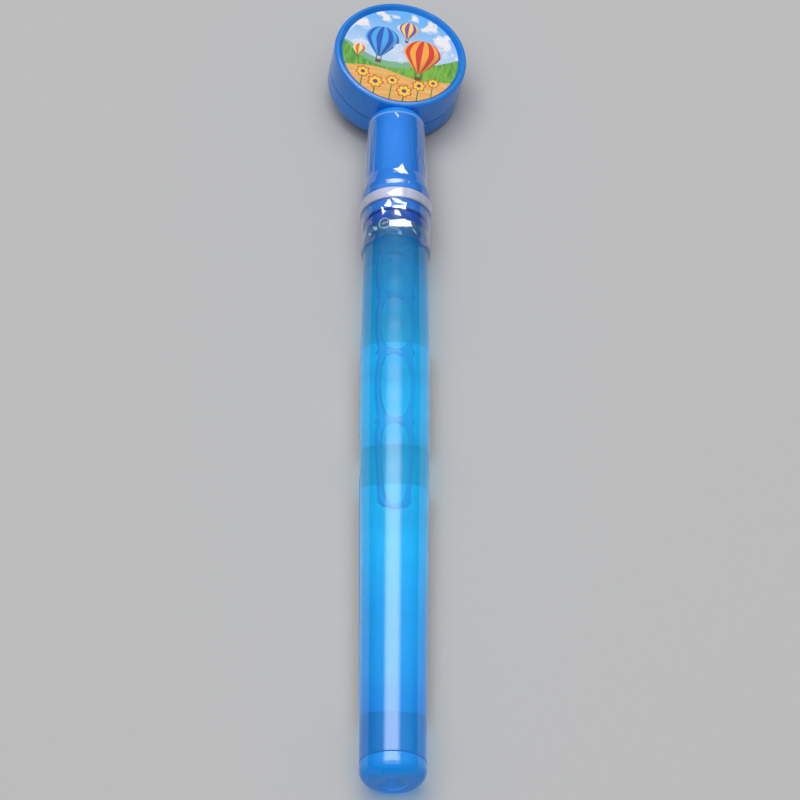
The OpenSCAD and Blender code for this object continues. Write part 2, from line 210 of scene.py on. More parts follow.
def makeFineScratches():  # short hair scratches lying every way
    tree, given, out = newGroup("fineScratches", [("Vector", "Vector", None), ("Amount", "Float", 0.3)],
                                [("Mask", "Float")])
    hairs = []
    for turn, shift in scratchLook["layers"]:
        slipped = (shift, scratchLook["slip"] * shift, shift)
        turned = addNode(tree, "Mapping", {"Vector": given["Vector"], "Location": slipped,
                                           "Rotation": (scratchLook["tilt"], turn, turn),
                                           "Scale": scratchLook["scale"]}).outputs[0]
        hairs.append(ramp(tree, softNoise(tree, turned, 1.0, 1.0), *scratchLook["hair"]))
    mask = chain(tree, hairs[0], *[("MAXIMUM", hair) for hair in hairs[1:]], ("MULTIPLY", given["Amount"]))
    tree.links.new(mask, out["Mask"])
    return tree


mouldedSkin, edgeWear = makeMouldedSkin(), makeEdgeWear()
settledDust, fineScratches = makeSettledDust(), makeFineScratches()

# moulded opaque plastic

bluePlasticLook = {"colour": (0.010, 0.215, 0.75), "flowColour": (0.014, 0.235, 0.79),
                   "wornColour": (0.14, 0.38, 0.85), "roughness": 0.08, "flowRoughness": 0.06,
                   "scratchRoughness": 0.25, "skinScale": 1.0, "skin": 0.09, "wear": 0.4, "dust": 0.2,
                   "scratches": 0.4, "ior": 1.49}
handleLook = {**bluePlasticLook, "colour": (0.010, 0.25, 0.81), "flowColour": (0.014, 0.27, 0.85)}
whiteRingLook = {**bluePlasticLook, "colour": (0.56, 0.60, 0.76), "flowColour": (0.60, 0.64, 0.80),
                 "wornColour": (0.75, 0.78, 0.9), "roughness": 0.38, "skinScale": 1.4, "skin": 0.2,
                 "wear": 0.3, "dust": 0.3, "scratches": 0.3}
# mm out from the middle of the head: a dark line along its parting line, and a rim polished by the mould
shellLines = {"seam": -2.2, "half": 0.32, "soft": 0.4, "colour": (0.004, 0.05, 0.26), "rim": (11.4, 12.4),
              "polish": 0.9, "polishIor": 1.6}


def mouldedPlastic(name, look, lines=None):  # skin, worn edges, hair scratches and a little dust
    material, tree, output, place = newMaterial(name)
    skin = useGroup(tree, mouldedSkin, {"Vector": place, "Scale": look["skinScale"]})
    worn = useGroup(tree, edgeWear, {"Vector": place, "Amount": look["wear"]})["Mask"]
    dust = useGroup(tree, settledDust, {"Vector": place, "Amount": look["dust"]})["Mask"]
    scratch = useGroup(tree, fineScratches, {"Vector": place, "Amount": look["scratches"]})["Mask"]
    tone = blendColour(tree, skin["Gloss"], look["colour"], look["flowColour"])
    tone = blendColour(tree, worn, tone, look["wornColour"])
    tone = blendColour(tree, dust, tone, dustLook["colour"])
    if lines:
        out = frontCoordinates(tree, place, rowPoint(0, 0, lie["headCentre"]))[0][2]
        # a darker colour along the head's parting line
        off = calc(tree, "ABSOLUTE", calc(tree, "SUBTRACT", out, lines["seam"]))
        seamDarkLine = ramp(tree, off, lines["half"], lines["half"] * lines["soft"])
        tone = blendColour(tree, seamDarkLine, tone, lines["colour"])
    smooth = ramp(tree, skin["Gloss"], 0, 1, look["roughness"], look["roughness"] + look["flowRoughness"])
    marks = calc(tree, "MULTIPLY", calc(tree, "MAXIMUM", scratch, worn), look["scratchRoughness"])
    rough = calc(tree, "ADD", smooth, marks)
    shader = addNode(tree, "BsdfPrincipled", {"Base Color": tone, "Roughness": rough, "IOR": look["ior"],
                                              "Normal": bumpFrom(tree, skin["Height"], look["skin"])})
    if lines:
        tree.links.new(ramp(tree, out, *lines["rim"], 0.0, lines["polish"]), shader.inputs["Coat Weight"])
        shader.inputs["Coat IOR"].default_value = lines["polishIor"]
    tree.links.new(shader.outputs[0], output.inputs[0])
    return material


bluePlastic = mouldedPlastic("bluePlastic", bluePlasticLook)
shellPlastic = mouldedPlastic("shellPlastic", bluePlasticLook, shellLines)
for name in ("screw_collar", "stopper"):
    dress(name, bluePlastic)
dress("handle", mouldedPlastic("handlePlastic", handleLook))
for name in ("front_shell", "back_shell"):
    dress(name, shellPlastic)
dress("seal_ring", mouldedPlastic("whiteRing", whiteRingLook))
print("moulded parts dressed")

# blown tube, full of solution: its outer skin bends light, and its inner skin meets liquid, which hides it

tubeLook = {"colour": (0.005, 0.55, 0.86), "paintedShadeColour": (0.004, 0.285, 0.69),
            "neckShadeColour": (0.005, 0.21, 0.90), "neck": (247.0, 250.5), "flowColour": (0.1, 0.9, 1.0),
            "flow": 0.05, "shadowTint": (0.74, 0.92, 0.99), "ior": 1.36, "clear": 0.72, "roughness": 0.03,
            "scratches": 0.35, "scratchRoughness": 0.1, "skinScale": 0.5, "skin": 0.08, "coat": 0.92,
            "coatRoughness": 0.04, "coatIor": 1.58, "steep": (0.3, 0.62), "steepCoat": 0.45,
            "insideFrom": 7.4, "insideTo": 251.0}
# painted shade along the tube: how much of the darker colour shows, as (mm from the foot, share)
tubePaintedShade = [(6, 1.0), (20, 1.0), (40, 0.73), (82, 0.42), (105, 0.1), (130, 0.0), (180, 0.0), (213, 0.4),
             (240, 0.5)]
tubePaintedShadeEnd = 255
# the wall is thicker below the moulding line, and dull where the tube stands
footLook = {**tubeLook, "colour": (0.004, 0.36, 1.0), "paintedShadeColour": (0.004, 0.36, 1.0), "clear": 0.45,
            "shadowTint": (0.08, 0.45, 0.75), "top": 7.6, "dull": (2.0, 5.0), "dullCoat": 0.25}
# a painted highlight: a pale curve of light along one side of the ring that the foot stands on: mm from the
# axis, and the side's direction
paintedFootGlint = {"far": 5.0, "edge": (0.5, 0.1), "side": (0.87, -0.5), "from": (0.8, 3.0), "top": (1.4, 1.12),
             "share": 0.75, "colour": (0.25, 0.62, 1.0)}
# the liquid hides the inner skin, but for a trace of haze
wettedLook = {"colour": (0.2, 0.6, 0.95), "roughness": 0.1, "grain": 60.0, "hazy": (0.9, 1.0), "haze": 0.02}


def paintedGlintOnFoot(tree, place):  # how much of the painted highlight shows, 0 to 1
    across, along, out = frontCoordinates(tree, place, rowPoint(0, 0, 0))[0]
    off = calc(tree, "ABSOLUTE", calc(tree, "SUBTRACT", distance(tree, across, out), paintedFootGlint["far"]))
    sideways, outward = paintedFootGlint["side"]
    aside = calc(tree, "ADD", calc(tree, "MULTIPLY", across, sideways), calc(tree, "MULTIPLY", out, outward))
    return chain(tree, ramp(tree, off, *paintedFootGlint["edge"]),
                 ("MULTIPLY", ramp(tree, aside, *paintedFootGlint["from"])),
                 ("MULTIPLY", ramp(tree, along, *paintedFootGlint["top"])), ("MULTIPLY", paintedFootGlint["share"]))


def paintedShadeCurve(tree, level):  # how much of the painted shade colour shows, 0 to 1
    along = ramp(tree, level, *rowLevels((0, tubePaintedShadeEnd)), smooth=False)
    deep = addNode(tree, "FloatCurve", {"Value": along})
    points = deep.mapping.curves[0].points
    points[0].location, points[1].location = (0, tubePaintedShade[0][1]), (1, tubePaintedShade[-1][1])
    for z, share in tubePaintedShade:
        points.new(z / tubePaintedShadeEnd, share)
    deep.mapping.update()
    return deep.outputs[0]


def tintedWall(name, look):
    material, tree, output, place = newMaterial(name)
    skin = useGroup(tree, mouldedSkin, {"Vector": place, "Scale": look["skinScale"]})
    scratch = useGroup(tree, fineScratches, {"Vector": place, "Amount": look["scratches"]})["Mask"]
    level = addNode(tree, "SeparateXYZ", {0: place}).outputs[1]
    # painted shade: darker towards the foot and the upper end, where the tube is seen over shadow
    tone = blendColour(tree, paintedShadeCurve(tree, level), look["colour"], look["paintedShadeColour"])
    # painted shade: the tube is coloured dark under the collar
    tone = blendColour(tree, ramp(tree, level, *rowLevels(look["neck"])), tone, look["neckShadeColour"])
    tone = blendColour(tree, calc(tree, "MULTIPLY", skin["Gloss"], look["flow"]), tone, look["flowColour"])
    rough = chain(tree, scratch, ("MULTIPLY", look["scratchRoughness"]), ("ADD", look["roughness"]))
    steep = addNode(tree, "LayerWeight", {"Blend": 0.5}).outputs["Facing"]
    coat = ramp(tree, steep, *look["steep"], look["coat"], look["coat"] * look["steepCoat"])
    if "dull" in look:
        coat = calc(tree, "MULTIPLY", coat, ramp(tree, level, *rowLevels(look["dull"]), look["dullCoat"]))
        # painted highlight on the foot
        tone = blendColour(tree, paintedGlintOnFoot(tree, place), tone, paintedFootGlint["colour"])
    shader = addNode(tree, "BsdfPrincipled", {"Base Color": tone, "Roughness": rough, "IOR": look["ior"],
                                              "Normal": bumpFrom(tree, skin["Height"], look["skin"]),
                                              "Transmission Weight": look["clear"], "Coat Weight": coat,
                                              "Coat Roughness": look["coatRoughness"],
                                              "Coat IOR": look["coatIor"]})
    tint = addNode(tree, "BsdfTransparent", {"Color": opaque(look["shadowTint"])})
    shadow = addNode(tree, "LightPath").outputs["Is Shadow Ray"]
    mix = addNode(tree, "MixShader", {0: shadow, 1: shader.outputs[0], 2: tint.outputs[0]})
    tree.links.new(mix.outputs[0], output.inputs[0])
    return material


def wettedSide():
    material, tree, output, place = newMaterial("wettedSide")
    grain = softNoise(tree, place, wettedLook["grain"])
    haze = ramp(tree, grain, *wettedLook["hazy"], 0.0, wettedLook["haze"])
    shader = addNode(tree, "BsdfPrincipled", {"Base Color": opaque(wettedLook["colour"]),
                                              "Roughness": wettedLook["roughness"], "Alpha": haze})
    tree.links.new(shader.outputs[0], output.inputs[0])
    return material


def splitTube():  # the wetted side and the foot get materials of their own
    data = dress("tube", tintedWall("clearBlue", tubeLook), wettedSide(), tintedWall("footBlue", footLook))
    count = len(data.polygons)
    centres, normals = np.zeros(count * 3), np.zeros(count * 3)
    data.polygons.foreach_get("center", centres)
    data.polygons.foreach_get("normal", normals)
    centres, normals = centres.reshape(-1, 3), normals.reshape(-1, 3)
    heel, up = np.array(rowPoint(0, 0, 0)), np.array(rowTurn @ Vector((0, 0, 1)))
    level = (centres - heel) @ up * 1000  # mm above the end of the foot
    nearest = heel + np.clip(level, tubeLook["insideFrom"], tubeLook["insideTo"])[:, None] / 1000 * up
    inside = (((centres - nearest) * normals).sum(1) < 0) & (level < tubeLook["insideTo"])
    slots = np.where(inside, 1, np.where(level < footLook["top"], 2, 0))
    data.polygons.foreach_set("material_index", slots.astype(np.int32))
    data.update()
    wetted, atFoot = int(inside.sum()), int((slots == 2).sum())
    print("tube:", wetted, "of", count, "faces are wetted,", atFoot, "belong to the foot")


splitTube()

# wand

# the edge colour is a darker copy, painted shade on the wand's edges
wandLook = {"colour": (0.36, 0.69, 0.94), "shadedEdgeColour": (0.11, 0.42, 0.82), "flowShade": 0.95,
            "roughness": 0.12, "flowRoughness": 0.06, "skinScale": 1.2, "skin": 0.1, "through": 0.94,
            "ior": 1.05}
wandShadeEdges = {"along": 0.8, "aside": 0.3}  # painted shade goes on an edge's face that looks this squarely along the wand, or to its side


def wandPlastic(name, tint):
    material, tree, output, place = newMaterial(name)
    skin = useGroup(tree, mouldedSkin, {"Vector": place, "Scale": wandLook["skinScale"]})
    tone = blendColour(tree, skin["Gloss"], scaled(tint, wandLook["flowShade"]), tint)
    low = wandLook["roughness"]
    rough = ramp(tree, skin["Gloss"], 0, 1, low, low + wandLook["flowRoughness"])
    shader = addNode(tree, "BsdfPrincipled", {"Base Color": tone, "Roughness": rough, "IOR": wandLook["ior"],
                                              "Normal": bumpFrom(tree, skin["Height"], wandLook["skin"]),
                                              "Transmission Weight": wandLook["through"]})
    tree.links.new(shader.outputs[0], output.inputs[0])
    return material


def splitWand():  # painted shade: the outer edges and the rungs' edges get a darker copy of the plastic than the flat faces
    data = dress("wand", wandPlastic("wandPlastic", wandLook["colour"]),
                 wandPlastic("wandShadeEdge", wandLook["shadedEdgeColour"]))
    side, up = rowTurn @ Vector((1, 0, 0)), rowTurn @ Vector((0, 0, 1))
    heel = rowPoint(0, 0, 0)
    for face in data.polygons:
        outward = face.normal.dot(side) * (face.center - heel).dot(side) > 0
        along, across = abs(face.normal.dot(up)), abs(face.normal.dot(side))
        paintedShadeFace = along > wandShadeEdges["along"] or (outward and across > wandShadeEdges["aside"])
        # painted shade: edge faces get the darker copy
        face.material_index = int(paintedShadeFace)
    data.update()


splitWand()

# labels

labelLook = {"colour": (0.86, 0.87, 0.88), "fibreColour": (0.78, 0.79, 0.80), "fibre": (0.45, 0.75),
             "fibreScale": (900.0, 500.0, 900.0), "fibreDetail": 5.0, "skin": 0.25, "skinDepth": 0.0001,
             "roughness": 0.6, "ior": 1.4, "marginColour": (0.22, 0.53, 0.85), "marginWidth": 2.2,
             "marginSoft": 0.6}


def makeLabelPaper():
    material, tree, output, place = newMaterial("labelPaper")
    stretched = addNode(tree, "Mapping", {"Vector": place, "Scale": labelLook["fibreScale"]}).outputs[0]
    fibre = softNoise(tree, stretched, 1.0, labelLook["fibreDetail"])
    fibrous = ramp(tree, fibre, *labelLook["fibre"])
    tone = blendColour(tree, fibrous, labelLook["colour"], labelLook["fibreColour"])
    out = frontCoordinates(tree, place, rowPoint(0, 0, 0))[0][2]
    face = rowTurn @ Vector((0, -1, 0))
    edge = max((v.co - rowPoint(0, 0, 0)).dot(face) for v in nodes["lower_label"].data.vertices) * 1000
    wide = labelLook["marginWidth"]
    margin = ramp(tree, out, edge - wide, edge - wide * labelLook["marginSoft"])
    tone = blendColour(tree, margin, tone, labelLook["marginColour"])  # down each long side
    bump = bumpFrom(tree, fibre, labelLook["skin"], labelLook["skinDepth"])
    shader = addNode(tree, "BsdfPrincipled", {"Base Color": tone, "Roughness": labelLook["roughness"],
                                              "Normal": bump, "IOR": labelLook["ior"]})
    tree.links.new(shader.outputs[0], output.inputs[0])
    return material


labelPaper = makeLabelPaper()
dress("lower_label", labelPaper)
dress("upper_label", labelPaper)
print("tube, wand and labels dressed")

# printed disc: balloons over a summer field, with a row of flowers in front, under a gloss coat

discLook = {"radius": 25.6, "faceDepth": 12.0, "turn": 8.0, "roughness": 0.3, "scratches": 0.3, "coat": 0.4,
            "coatRoughness": 0.08, "grain": 160.0, "speckle": 0.08, "skin": 0.1, "skinDepth": 0.0001}
balloonsOnDisc = [  # across, up, size, stripes, colour, stripe colour
    (-0.36, 0.26, 0.30, 9.0, (0.02, 0.10, 0.55), (0.06, 0.42, 0.86)),
    (0.36, 0.10, 0.33, 9.0, (0.72, 0.04, 0.03), (0.96, 0.42, 0.05)),
    (0.06, 0.60, 0.17, 7.0, (0.30, 0.06, 0.46), (0.95, 0.74, 0.08)),
    (-0.72, -0.04, 0.11, 5.0, (0.86, 0.16, 0.06), (0.98, 0.82, 0.25))]
bubblesOnDisc = [  # across, up, size
    (0.62, 0.50, 0.11), (-0.06, 0.16, 0.09), (-0.66, 0.48, 0.07), (0.42, 0.66, 0.06), (-0.30, 0.72, 0.05),
    (0.76, 0.20, 0.06), (0.02, -0.12, 0.06)]
flowersOnDisc = [  # across, up, size, turn
    (-0.58, -0.52, 0.13, 0.2), (-0.34, -0.68, 0.15, 0.9), (-0.06, -0.58, 0.12, 0.5), (0.17, -0.76, 0.15, 1.3),
    (0.40, -0.58, 0.13, 0.7), (0.63, -0.46, 0.11, 0.1)]
discColours = {"lowSky": (0.56, 0.70, 0.90), "highSky": (0.13, 0.46, 0.92), "cloud": (0.90, 0.86, 0.90),
               "farHill": (0.16, 0.40, 0.30), "farHillLight": (0.24, 0.52, 0.26), "grass": (0.07, 0.30, 0.04),
               "grassLight": (0.22, 0.50, 0.05), "sand": (0.80, 0.37, 0.09), "sandLight": (0.88, 0.50, 0.15),
               "basket": (0.16, 0.07, 0.02), "petalEdge": (0.62, 0.10, 0.02), "petal": (0.96, 0.66, 0.06),
               "heart": (0.20, 0.05, 0.16), "stem": (0.04, 0.22, 0.03), "bubble": (0.8, 0.9, 0.95),
               "bubbleRing": (0.9, 0.75, 0.9), "glint": (1.0, 1.0, 1.0), "speckle": (0.0, 0.0, 0.0)}
discShares = {"balloonShade": 0.5, "balloonDark": 0.25, "bubble": 0.3, "bubbleRing": 0.6}
# the wavy line that each ground ends at, in shares of the disc: pitch, height, level, bend
groundLines = {"farHill": (4.6, 0.05, -0.16, 0.22), "grass": (2.6, 0.08, -0.30, 0.42),
               "sand": (-4.2, 0.05, -0.42, 0.0)}
# the noise in each: scale, detail, and stretch if any
groundNoise = {"cloud": (3.1, 5.0), "farHill": (2.2, 3.0), "grass": (3.0, 4.0, (9.0, 2.0, 9.0)),
               "sand": (2.0, 3.0, (1.2, 9.0, 1.0))}
groundRamps = {"sky": (-0.3, 1.0), "cloud": (0.5, 0.58), "cloudHeight": (-0.2, 0.4), "grass": (0.35, 0.65),
               "sand": (0.3, 0.7), "soft": 0.02, "grain": (0.3, 0.7)}
# the shapes in shares of their own size, with soft edges
bubbleShape = {"edge": (0.92, 1.0), "ring": (0.7, 0.92), "glintAt": 0.38, "glint": (0.12, 0.24)}
balloonShape = {"tip": -1.25, "taper": -0.6, "long": (-0.3, 0.0, 1.3), "edge": (0.96, 1.0),
                "leastChord": 0.02, "stripe": (-0.15, 0.15), "shade": (0.1, 1.5),
                "basket": (-1.75, -1.5, 0.03), "basketHalf": (0.15, 0.18),
                "rope": (-1.55, -1.15, 0.05), "ropeAt": 0.13, "ropeHalf": (0.02, 0.04)}
daisyShape = {"halfPetals": 3.5, "notch": 0.3, "edge": (0.95, 1.0), "inner": (0.66, 0.86),
              "heart": (0.26, 0.32), "stemHalf": (0.06, 0.1), "stemTop": (0.0, -0.05)}
shapeInputs = [("X", "Float", 0.0), ("Y", "Float", 0.0), ("Centre X", "Float", 0.0),
               ("Centre Y", "Float", 0.0), ("Size", "Float", 0.1)]


def shapePlace(tree, given):  # right and up from a shape's centre, 1 at its size
    return [calc(tree, "DIVIDE", calc(tree, "SUBTRACT", given[axis], given["Centre " + axis]), given["Size"])
            for axis in "XY"]


def below(tree, value, full, none):  # 1 up to full, 0 from none on
    return ramp(tree, value, full, none, 1.0, 0.0)


def between(tree, value, low, high, soft):  # 1 inside two limits
    return calc(tree, "MULTIPLY", ramp(tree, value, low, low + soft), below(tree, value, high, high + soft))


def makeRoundBubble():
    tree, given, out = newGroup("roundBubble", shapeInputs,
                                [(label, "Float") for label in ("Fill", "Ring", "Glint")])
    u, v = shapePlace(tree, given)
    far = distance(tree, u, v)
    fill = below(tree, far, *bubbleShape["edge"])
    tree.links.new(fill, out["Fill"])
    tree.links.new(calc(tree, "MULTIPLY", fill, ramp(tree, far, *bubbleShape["ring"])), out["Ring"])
    at = bubbleShape["glintAt"]
    spot = distance(tree, calc(tree, "ADD", u, at), calc(tree, "SUBTRACT", v, at))
    tree.links.new(below(tree, spot, *bubbleShape["glint"]), out["Glint"])
    return tree


def makeAirBalloon():  # a striped drop, with ropes and a basket below it
    tree, given, out = newGroup("airBalloon", shapeInputs + [("Stripes", "Float", 9.0)],
                                [(label, "Float") for label in ("Fill", "Stripe", "Shade", "Basket")])
    u, v = shapePlace(tree, given)
    look = balloonShape
    down = ramp(tree, v, 0.0, look["tip"], smooth=False)
    waist = chain(tree, down, ("MULTIPLY", look["taper"]), ("ADD", 1.0))
    deep = calc(tree, "DIVIDE", v, ramp(tree, v, *look["long"]))
    across = calc(tree, "DIVIDE", u, waist)
    tree.links.new(below(tree, distance(tree, across, deep), *look["edge"]), out["Fill"])
    chord = calc(tree, "SQRT", chain(tree, deep, ("MULTIPLY", deep), ("MULTIPLY", -1.0), ("ADD", 1.0),
                                     ("MAXIMUM", look["leastChord"])))
    turn = calc(tree, "ARCSINE", calc(tree, "DIVIDE", across, chord))
    wave = calc(tree, "SINE", calc(tree, "MULTIPLY", turn, given["Stripes"]))
    tree.links.new(ramp(tree, wave, *look["stripe"]), out["Stripe"])
    tree.links.new(ramp(tree, calc(tree, "SUBTRACT", u, v), *look["shade"]), out["Shade"])
    wide = calc(tree, "ABSOLUTE", u)
    basket = calc(tree, "MULTIPLY", below(tree, wide, *look["basketHalf"]), between(tree, v, *look["basket"]))
    offRope = calc(tree, "ABSOLUTE", calc(tree, "SUBTRACT", wide, look["ropeAt"]))
    rope = calc(tree, "MULTIPLY", below(tree, offRope, *look["ropeHalf"]), between(tree, v, *look["rope"]))
    tree.links.new(calc(tree, "MAXIMUM", basket, rope), out["Basket"])
    return tree


def makeDaisy():
    tree, given, out = newGroup("daisy", shapeInputs + [("Turn", "Float", 0.0)],
                                [(label, "Float") for label in ("Petals", "Inner", "Heart", "Stem")])
    u, v = shapePlace(tree, given)
    far = distance(tree, u, v)
    angle = calc(tree, "ADD", calc(tree, "ARCTAN2", v, u), given["Turn"])
    look = daisyShape
    wave = calc(tree, "ABSOLUTE", calc(tree, "COSINE", calc(tree, "MULTIPLY", angle, look["halfPetals"])))
    reach = chain(tree, wave, ("MULTIPLY", look["notch"]), ("ADD", 1 - look["notch"]))
    share = calc(tree, "DIVIDE", far, reach)
    tree.links.new(below(tree, share, *look["edge"]), out["Petals"])
    tree.links.new(below(tree, share, *look["inner"]), out["Inner"])
    tree.links.new(below(tree, far, *look["heart"]), out["Heart"])
    narrow = below(tree, calc(tree, "ABSOLUTE", u), *look["stemHalf"])
    tree.links.new(calc(tree, "MULTIPLY", narrow, ramp(tree, v, *look["stemTop"])), out["Stem"])
    return tree


roundBubble, airBalloon, daisy = makeRoundBubble(), makeAirBalloon(), makeDaisy()


def paintLand(tree, x, y, mapped):  # sky, clouds, hills and a sandy path
    def upTo(ground):
        pitch, height, level, bend = groundLines[ground]
        wave = chain(tree, x, ("MULTIPLY", pitch), ("SINE", 0.0), ("MULTIPLY", height), ("ADD", level))
        line = calc(tree, "ADD", wave, chain(tree, x, ("MULTIPLY", x), ("MULTIPLY", bend)))
        return below(tree, calc(tree, "SUBTRACT", y, line), 0.0, groundRamps["soft"])

    def blotches(ground):
        scale, detail, *stretch = groundNoise[ground]
        place = mapped
        if stretch:
            place = addNode(tree, "Mapping", {"Vector": mapped, "Scale": stretch[0]}).outputs[0]
        noisy = softNoise(tree, place, scale, detail)
        return ramp(tree, noisy, *groundRamps[ground]) if ground in groundRamps else noisy

    tones = discColours
    picture = blendColour(tree, ramp(tree, y, *groundRamps["sky"]), tones["lowSky"], tones["highSky"])
    cloud = calc(tree, "MULTIPLY", blotches("cloud"), ramp(tree, y, *groundRamps["cloudHeight"]))
    picture = blendColour(tree, cloud, picture, tones["cloud"])
    for ground in groundLines:
        tone = blendColour(tree, blotches(ground), tones[ground], tones[ground + "Light"])
        picture = blendColour(tree, upTo(ground), picture, tone)
    return picture


def makePrintedCard():
    material, tree, output, place = newMaterial("printedCard")
    centre = rowPoint(0, -discLook["faceDepth"], lie["headCentre"])
    (x, y, _), mapped = frontCoordinates(tree, place, centre, discLook["radius"], -discLook["turn"])
    picture = paintLand(tree, x, y, mapped)
    tones, shares = discColours, discShares

    def shape(group, cx, cy, size, **more):
        return useGroup(tree, group, {"X": x, "Y": y, "Centre X": cx, "Centre Y": cy, "Size": size, **more})

    def part(share, amount):
        return calc(tree, "MULTIPLY", share, amount)

    for cx, cy, size, stripes, main, stripe in balloonsOnDisc:
        cut = shape(airBalloon, cx, cy, size, Stripes=stripes)
        skin = blendColour(tree, cut["Stripe"], main, stripe)
        dark = scaled(main, shares["balloonDark"])
        skin = blendColour(tree, part(cut["Shade"], shares["balloonShade"]), skin, dark)
        picture = blendColour(tree, cut["Basket"], picture, tones["basket"])
        picture = blendColour(tree, cut["Fill"], picture, skin)
    for cx, cy, size, turn in flowersOnDisc:
        cut = shape(daisy, cx, cy, size, Turn=turn)
        petal = blendColour(tree, cut["Inner"], tones["petalEdge"], tones["petal"])
        petal = blendColour(tree, cut["Heart"], petal, tones["heart"])
        picture = blendColour(tree, cut["Stem"], picture, tones["stem"])
        picture = blendColour(tree, cut["Petals"], picture, petal)
    for cx, cy, size in bubblesOnDisc:
        cut = shape(roundBubble, cx, cy, size)
        picture = blendColour(tree, part(cut["Fill"], shares["bubble"]), picture, tones["bubble"])
        picture = blendColour(tree, part(cut["Ring"], shares["bubbleRing"]), picture, tones["bubbleRing"])
        picture = blendColour(tree, cut["Glint"], picture, tones["glint"])
    grain = softNoise(tree, mapped, discLook["grain"])
    speckle = ramp(tree, grain, *groundRamps["grain"], 0.0, discLook["speckle"])
    picture = blendColour(tree, speckle, picture, tones["speckle"])
    scratch = useGroup(tree, fineScratches, {"Vector": place, "Amount": discLook["scratches"]})["Mask"]
    rough = calc(tree, "ADD", scratch, discLook["roughness"])
    bump = bumpFrom(tree, grain, discLook["skin"], discLook["skinDepth"])
    shader = addNode(tree, "BsdfPrincipled", {"Base Color": picture, "Normal": bump, "Roughness": rough,
                                              "Coat Weight": discLook["coat"],
                                              "Coat Roughness": discLook["coatRoughness"]})
    tree.links.new(shader.outputs[0], output.inputs[0])
    return material


dress("printed_disc", makePrintedCard())
print("print on the disc made")

# shrink film over the neck, all in mm

filmShape = {"low": 239.6, "high": 307.3, "ragged": 2.2, "raggedPitch": 2.3, "rings": 310, "steps": 360,
             "limit": 15.49}
# (place along the wand, value there): the radius, the room for crumples and the depth of the flutes
filmProfile = [(236.0, 14.32), (240.0, 14.28), (247.0, 14.24), (254.2, 14.30), (258.3, 14.45), (259.2, 15.30),
               (268.2, 15.30), (268.9, 15.22), (275.8, 13.55), (306.4, 12.42), (307.3, 12.48)]
filmRoom = [(236, 0.40), (250, 0.30), (257, 0.15), (259.2, 0.05), (268, 0.05), (270, 0.10), (280, 0.10),
            (300, 0.10), (306.8, 0.0)]
fluteDepth = [(236, 0.10), (257, 0.05), (259, 0.0), (270, 0.0), (280, 0.22), (298, 0.22), (306, 0.0)]
filmLook = {"colour": (0.96, 0.97, 1.0), "ior": 1.5, "grain": 380.0, "detail": 3.0, "hazy": (0.6, 0.8),
            "haze": 0.05, "edge": 1.8, "skin": 0.15}
# how milky the film is from straight on, and how much it hides at most
filmFinishes = {"clearFilm": {"milky": 0.0, "most": 0.55, "metallic": 1.0, "roughness": 0.05},
                "foldedFilm": {"milky": 0.16, "most": 0.55, "metallic": 1.0, "roughness": 0.05},
                # the next two finishes are painted highlights: pale, dull film where glints and a pale edge
                # of light show
                "glintPaintedFilm": {"milky": 0.27, "most": 0.6, "metallic": 0.0, "roughness": 0.2},
                "hemHighlightFilm": {"milky": 0.08, "most": 0.5, "metallic": 0.0, "roughness": 0.25}}
clearSlot, foldedSlot, paintedGlintSlot, hemHighlightSlot = range(len(filmFinishes))
# Folds that lean to the foot and catch the lamp: lean in degrees, mm after which the fold starts anew,
# whether it is flat across too, then (across, along) corners
filmFolds = [
    (7, 9, True, [(-1.0, 306.0), (-0.1, 306.3), (1.2, 304.4), (1.0, 302.5), (0.3, 304.2)]),
    (21, 9, True, [(-1.4, 273.8), (1.0, 274.5), (2.2, 276.7), (2.8, 276.3), (3.4, 273.9), (5.4, 271.5),
                   (1.6, 271.9)]),
    (4, 9, False, [(-5.0, 268.7), (4.6, 268.5), (4.3, 266.4), (-4.2, 266.0)]),
    (4, 2.4, False, [(-4.2, 261.4), (0.1, 263.3), (4.7, 263.8), (4.1, 259.3), (-1.6, 259.3), (-3.4, 260.3)]),
    (9, 9, True, [(-2.4, 258.6), (0.3, 258.6), (2.6, 257.1), (4.7, 256.3), (4.3, 254.9), (2.2, 256.0),
                  (0.1, 256.2)]),
    (8, 9, True, [(-1.9, 254.5), (0.1, 255.1), (4.4, 255.2), (4.2, 253.1), (1.8, 253.4), (-0.7, 253.4)]),
    (8, 9, True, [(-2.6, 258.4), (-1.6, 256.0), (-2.0, 254.1), (-5.1, 254.9), (-3.7, 257.0)]),
    (8, 9, True, [(-6.0, 255.1), (-4.9, 254.1), (-4.8, 252.7), (-3.7, 252.7), (-5.4, 250.6)]),
    (8, 9, True, [(-0.5, 252.7), (1.4, 252.2), (2.7, 249.3), (-0.6, 250.1)]),
    (7, 9, True, [(-2.6, 247.1), (3.4, 248.0), (5.1, 247.1), (7.0, 247.6), (8.0, 244.4), (4.9, 244.1),
                  (0.6, 243.9), (-2.6, 244.1)])]
foldFacing = (-8.0, 4.0)  # degrees to which a fold that is flat across may face
# Painted highlights: patches of film coloured white where glints show, lying flat on it
filmPaintedGlints = [
    [(4.6, 267.2), (6.3, 268.4), (5.6, 266.4)], [(4.9, 259.4), (5.8, 261.0), (6.9, 259.5)],
    [(6.4, 244.1), (7.6, 244.3), (9.1, 242.1), (8.4, 241.9)],
    [(-9.7, 246.7), (-7.6, 245.7), (-7.3, 244.2), (-8.4, 243.5), (-9.2, 244.8)],
    [(-11.5, 244.4), (-10.5, 244.0), (-9.6, 242.7), (-10.9, 242.6)],
    [(-6.0, 246.3), (-4.2, 246.9), (-3.1, 246.7), (-3.2, 246.2), (-4.6, 246.0), (-5.2, 245.4)]]
paintedGlintLift = 0.1
# a small ring where film gathered, whitened where it crumples and coloured white as a painted highlight for
# its glint
filmPucker = {"across": -4.7, "along": 246.3, "outer": 2.4, "inner": 1.75, "height": 0.3, "squash": 0.85}
